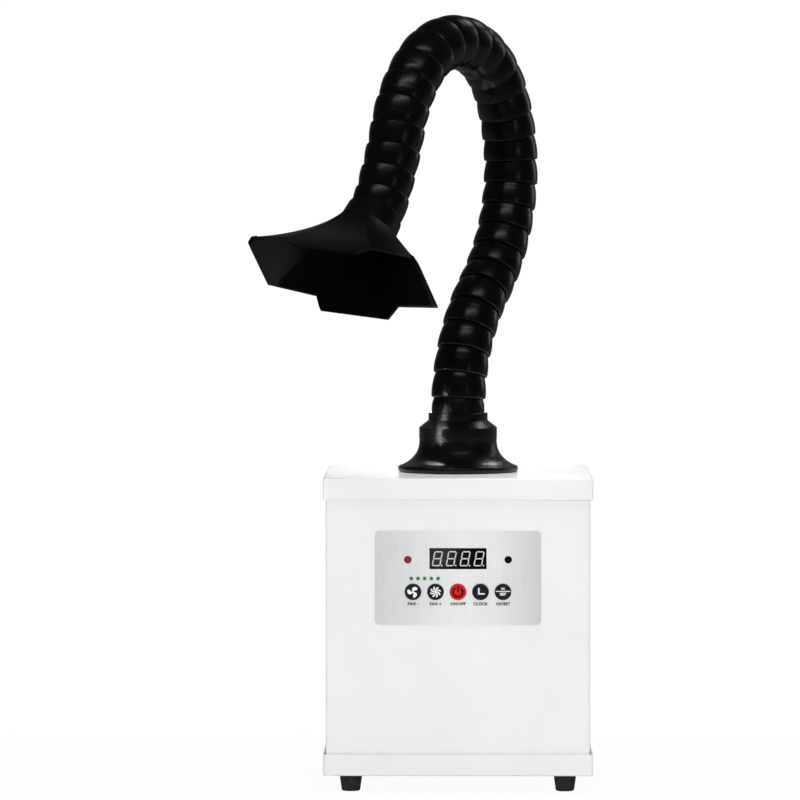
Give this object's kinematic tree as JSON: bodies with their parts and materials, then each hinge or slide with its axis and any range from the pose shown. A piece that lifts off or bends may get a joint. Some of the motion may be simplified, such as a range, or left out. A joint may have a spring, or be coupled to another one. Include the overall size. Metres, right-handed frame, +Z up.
{
  "type": "fume extractor",
  "caption": "Desktop fume extractor: folded steel filter cabinet with a push-button panel, a lift-off lid and a stay-put ball-jointed arm that carries a flared eight-panel hood.",
  "frame": {"origin": "floor plane under the middle of the cabinet, where the feet stand", "axes": "+X right seen from the front, -Y toward the front panel, +Z up"},
  "size_m": [0.3189, 0.3414, 0.7234],
  "materials": {
    "cabinet_paint": "semi-gloss powder coat, pale grey-white",
    "foot_rubber": "moulded matte",
    "zinc_steel": "zinc plated",
    "panel_film": "satin printed polycarbonate, silver grey",
    "display_black": "smooth dark face",
    "lamp_red": "tinted epoxy",
    "receiver_black": "dark infrared filter",
    "lamp_green": "tinted epoxy, unlit",
    "key_dark": "satin moulded, blue black",
    "key_red": "satin moulded, red",
    "board_laminate": "green solder mask",
    "nylon": "moulded natural",
    "filter_foam": "open-cell foam",
    "filter_card": "pressed board",
    "filter_paper": "pleated glass-fibre paper",
    "seal_foam": "closed-cell foam strip",
    "galvanised_steel": "bare zinc coat",
    "motor_alloy": "die cast",
    "wheel_plastic": "glass-filled nylon",
    "inlet_plastic": "moulded satin",
    "nickel_brass": "nickel plated",
    "arm_plastic": "satin moulded black",
    "hood_plastic": "fine-textured black"
  },
  "bodies": {
    "cabinet": {"base_tray": "cabinet_paint", "cabinet_sleeve": "cabinet_paint", "rubber_feet": "foot_rubber", "foot_screws": "zinc_steel", "control_panel": "panel_film", "display_module": "display_black", "power_lamp": "lamp_red", "remote_receiver": "receiver_black", "level_lamps": "lamp_green", "control_board": "board_laminate", "supply_board": "board_laminate", "board_spacers": "nylon", "prefilter_pad": "filter_foam", "filter_frame": "filter_card", "filter_media": "filter_paper", "filter_seal": "seal_foam", "lid_seal": "seal_foam", "filter_shelf": "galvanised_steel", "motor_bracket": "galvanised_steel", "motor": "motor_alloy", "mains_inlet": "inlet_plastic", "inlet_pins": "nickel_brass"},
    "lid": {"lid": "cabinet_paint", "arm_base": "arm_plastic", "base_bolts": "zinc_steel"},
    "arm_cup_01": {"arm_cup_01": "arm_plastic"},
    "arm_cup_02": {"arm_cup_02": "arm_plastic"},
    "arm_cup_03": {"arm_cup_03": "arm_plastic"},
    "arm_cup_04": {"arm_cup_04": "arm_plastic"},
    "arm_cup_05": {"arm_cup_05": "arm_plastic"},
    "arm_cup_06": {"arm_cup_06": "arm_plastic"},
    "arm_cup_07": {"arm_cup_07": "arm_plastic"},
    "arm_cup_08": {"arm_cup_08": "arm_plastic"},
    "arm_cup_09": {"arm_cup_09": "arm_plastic"},
    "arm_cup_10": {"arm_cup_10": "arm_plastic"},
    "arm_cup_11": {"arm_cup_11": "arm_plastic"},
    "arm_cup_12": {"arm_cup_12": "arm_plastic"},
    "arm_cup_13": {"arm_cup_13": "arm_plastic"},
    "arm_cup_14": {"arm_cup_14": "arm_plastic"},
    "arm_cup_15": {"arm_cup_15": "arm_plastic"},
    "arm_cup_16": {"arm_cup_16": "arm_plastic"},
    "arm_cup_17": {"arm_cup_17": "arm_plastic"},
    "arm_cup_18": {"arm_cup_18": "arm_plastic"},
    "arm_cup_19": {"arm_cup_19": "arm_plastic"},
    "arm_cup_20": {"arm_cup_20": "arm_plastic"},
    "arm_cup_21": {"arm_cup_21": "arm_plastic"},
    "arm_cup_22": {"arm_cup_22": "arm_plastic"},
    "arm_cup_23": {"arm_cup_23": "arm_plastic"},
    "arm_cup_24": {"arm_cup_24": "arm_plastic"},
    "arm_cup_25": {"arm_cup_25": "arm_plastic"},
    "arm_cup_26": {"arm_cup_26": "arm_plastic"},
    "arm_cup_27": {"arm_cup_27": "arm_plastic"},
    "arm_cup_28": {"arm_cup_28": "arm_plastic"},
    "hood": {"hood": "hood_plastic"},
    "impeller": {"impeller": "wheel_plastic"},
    "fan_down_button": {"fan_down_button": "key_dark"},
    "fan_up_button": {"fan_up_button": "key_dark"},
    "power_button": {"power_button": "key_red"},
    "timer_button": {"timer_button": "key_dark"},
    "set_button": {"set_button": "key_dark"}
  },
  "joints": [
    {"name": "lid_lift", "type": "slide", "parent": "cabinet", "child": "lid", "axis": [0, 0, 1], "range_m": [0, 0.06]},
    {"name": "arm_cup_01_ball", "type": "hinge", "parent": "lid", "child": "arm_cup_01", "pos_m": [0, 0, 0.352], "axis": [0.8192, -0.5736, 0], "range_deg": [-12.69, 21.29]},
    {"name": "arm_cup_02_ball", "type": "hinge", "parent": "arm_cup_01", "child": "arm_cup_02", "pos_m": [0.00097, 0.00138, 0.37444], "axis": [0.5618, 0.8023, -0.2019], "range_deg": [-15.36, 15.36]},
    {"name": "arm_cup_03_ball", "type": "hinge", "parent": "arm_cup_02", "child": "arm_cup_03", "pos_m": [0.00357, 0.0051, 0.39647], "axis": [0.8192, -0.5736, 0], "range_deg": [-9.64, 24.34]},
    {"name": "arm_cup_04_ball", "type": "hinge", "parent": "arm_cup_03", "child": "arm_cup_04", "pos_m": [0.00777, 0.0111, 0.41775], "axis": [0.514, 0.734, -0.4439], "range_deg": [-15.36, 15.36]},
    {"name": "arm_cup_05_ball", "type": "hinge", "parent": "arm_cup_04", "child": "arm_cup_05", "pos_m": [0.0135, 0.01929, 0.43791], "axis": [0.8192, -0.5736, 0], "range_deg": [-9.64, 24.34]},
    {"name": "arm_cup_06_ball", "type": "hinge", "parent": "arm_cup_05", "child": "arm_cup_06", "pos_m": [0.02066, 0.02951, 0.45663], "axis": [0.4326, 0.6178, -0.6567], "range_deg": [-15.36, 15.36]},
    {"name": "arm_cup_07_ball", "type": "hinge", "parent": "arm_cup_06", "child": "arm_cup_07", "pos_m": [0.02914, 0.04161, 0.4736], "axis": [0.8192, -0.5736, 0], "range_deg": [-23.99, 9.99]},
    {"name": "arm_cup_08_ball", "type": "hinge", "parent": "arm_cup_07", "child": "arm_cup_08", "pos_m": [0.03637, 0.05194, 0.49224], "axis": [0.5108, 0.7295, -0.4548], "range_deg": [-15.52, 15.52]},
    {"name": "arm_cup_09_ball", "type": "hinge", "parent": "arm_cup_08", "child": "arm_cup_09", "pos_m": [0.04223, 0.06032, 0.51228], "axis": [0.8192, -0.5736, 0], "range_deg": [-23.99, 9.99]},
    {"name": "arm_cup_10_ball", "type": "hinge", "parent": "arm_cup_09", "child": "arm_cup_10", "pos_m": [0.04666, 0.06663, 0.53341], "axis": [-0.5588, -0.798, 0.2258], "range_deg": [-15.52, 15.52]},
    {"name": "arm_cup_11_ball", "type": "hinge", "parent": "arm_cup_10", "child": "arm_cup_11", "pos_m": [0.04957, 0.0708, 0.55533], "axis": [0.8192, -0.5736, 0], "range_deg": [-25.24, 8.74]},
    {"name": "arm_cup_12_ball", "type": "hinge", "parent": "arm_cup_11", "child": "arm_cup_12", "pos_m": [0.05065, 0.07234, 0.57775], "axis": [-0.5725, -0.8177, -0.0602], "range_deg": [-14.91, 14.91]},
    {"name": "arm_cup_13_ball", "type": "hinge", "parent": "arm_cup_12", "child": "arm_cup_13", "pos_m": [0.04988, 0.07123, 0.60021], "axis": [0.8192, -0.5736, 0], "range_deg": [-25.24, 8.74]},
    {"name": "arm_cup_14_ball", "type": "hinge", "parent": "arm_cup_13", "child": "arm_cup_14", "pos_m": [0.04726, 0.06749, 0.62225], "axis": [-0.5392, -0.77, -0.3412], "range_deg": [-14.91, 14.91]},
    {"name": "arm_cup_15_ball", "type": "hinge", "parent": "arm_cup_14", "child": "arm_cup_15", "pos_m": [0.04286, 0.0612, 0.6434], "axis": [0.8192, -0.5736, 0], "range_deg": [-25.24, 8.74]},
    {"name": "arm_cup_16_ball", "type": "hinge", "parent": "arm_cup_15", "child": "arm_cup_16", "pos_m": [0.03676, 0.05249, 0.66322], "axis": [-0.4161, -0.5942, -0.6884], "range_deg": [-7.49, 7.49]},
    {"name": "arm_cup_17_ball", "type": "hinge", "parent": "arm_cup_16", "child": "arm_cup_17", "pos_m": [0.02787, 0.03981, 0.67955], "axis": [-0.8192, 0.5736, 0], "range_deg": [-1.69, 32.29]},
    {"name": "arm_cup_18_ball", "type": "hinge", "parent": "arm_cup_17", "child": "arm_cup_18", "pos_m": [0.01683, 0.02404, 0.6912], "axis": [-0.1571, -0.2244, -0.9617], "range_deg": [-7.49, 7.49]},
    {"name": "arm_cup_19_ball", "type": "hinge", "parent": "arm_cup_18", "child": "arm_cup_19", "pos_m": [0.00442, 0.00632, 0.69737], "axis": [-0.8192, 0.5736, 0], "range_deg": [-1.69, 32.29]},
    {"name": "arm_cup_20_ball", "type": "hinge", "parent": "arm_cup_19", "child": "arm_cup_20", "pos_m": [-0.00848, -0.01211, 0.6976], "axis": [0.1455, 0.2079, -0.9673], "range_deg": [-7.49, 7.49]},
    {"name": "arm_cup_21_ball", "type": "hinge", "parent": "arm_cup_20", "child": "arm_cup_21", "pos_m": [-0.02097, -0.02994, 0.69189], "axis": [-0.8192, 0.5736, 0], "range_deg": [-1.69, 32.29]},
    {"name": "arm_cup_22_ball", "type": "hinge", "parent": "arm_cup_21", "child": "arm_cup_22", "pos_m": [-0.03214, -0.0459, 0.68064], "axis": [0.4077, 0.5823, -0.7034], "range_deg": [-7.49, 7.49]},
    {"name": "arm_cup_23_ball", "type": "hinge", "parent": "arm_cup_22", "child": "arm_cup_23", "pos_m": [-0.04122, -0.05887, 0.66465], "axis": [-0.8192, 0.5736, 0], "range_deg": [-7.69, 26.29]},
    {"name": "arm_cup_24_ball", "type": "hinge", "parent": "arm_cup_23", "child": "arm_cup_24", "pos_m": [-0.0487, -0.06954, 0.64631], "axis": [-0.5151, -0.7356, 0.4399], "range_deg": [-14.28, 14.28]},
    {"name": "arm_cup_25_ball", "type": "hinge", "parent": "arm_cup_24", "child": "arm_cup_25", "pos_m": [-0.05437, -0.07765, 0.6261], "axis": [0.8192, -0.5736, 0], "range_deg": [-26.29, 7.69]},
    {"name": "arm_cup_26_ball", "type": "hinge", "parent": "arm_cup_25", "child": "arm_cup_26", "pos_m": [-0.0581, -0.08298, 0.60456], "axis": [-0.539, -0.7698, 0.342], "range_deg": [-16.69, 16.69]},
    {"name": "arm_cup_27_ball", "type": "hinge", "parent": "arm_cup_26", "child": "arm_cup_27", "pos_m": [-0.06252, -0.08928, 0.58342], "axis": [0.8192, -0.5736, 0], "range_deg": [-13.79, 20.19]},
    {"name": "arm_cup_28_ball", "type": "hinge", "parent": "arm_cup_27", "child": "arm_cup_28", "pos_m": [-0.0676, -0.09654, 0.56274], "axis": [-0.5138, -0.7337, 0.4446], "range_deg": [-16.69, 16.69]},
    {"name": "hood_ball", "type": "hinge", "parent": "arm_cup_28", "child": "hood", "pos_m": [-0.07334, -0.10474, 0.54259], "axis": [0.8192, -0.5736, 0], "range_deg": [-0.89, 33.09]},
    {"name": "impeller_spin", "type": "hinge", "parent": "cabinet", "child": "impeller", "pos_m": [0, 0.01, 0.06], "axis": [0, 0, 1], "continuous": true},
    {"name": "fan_down_button_press", "type": "slide", "parent": "cabinet", "child": "fan_down_button", "axis": [0, 1, 0], "range_m": [0, 0.0008], "stiffness_N_per_m": 400, "springref_m": -0.0005},
    {"name": "fan_up_button_press", "type": "slide", "parent": "cabinet", "child": "fan_up_button", "axis": [0, 1, 0], "range_m": [0, 0.0008], "stiffness_N_per_m": 400, "springref_m": -0.0005},
    {"name": "power_button_press", "type": "slide", "parent": "cabinet", "child": "power_button", "axis": [0, 1, 0], "range_m": [0, 0.0008], "stiffness_N_per_m": 400, "springref_m": -0.0005},
    {"name": "timer_button_press", "type": "slide", "parent": "cabinet", "child": "timer_button", "axis": [0, 1, 0], "range_m": [0, 0.0008], "stiffness_N_per_m": 400, "springref_m": -0.0005},
    {"name": "set_button_press", "type": "slide", "parent": "cabinet", "child": "set_button", "axis": [0, 1, 0], "range_m": [0, 0.0008], "stiffness_N_per_m": 400, "springref_m": -0.0005}
  ]
}
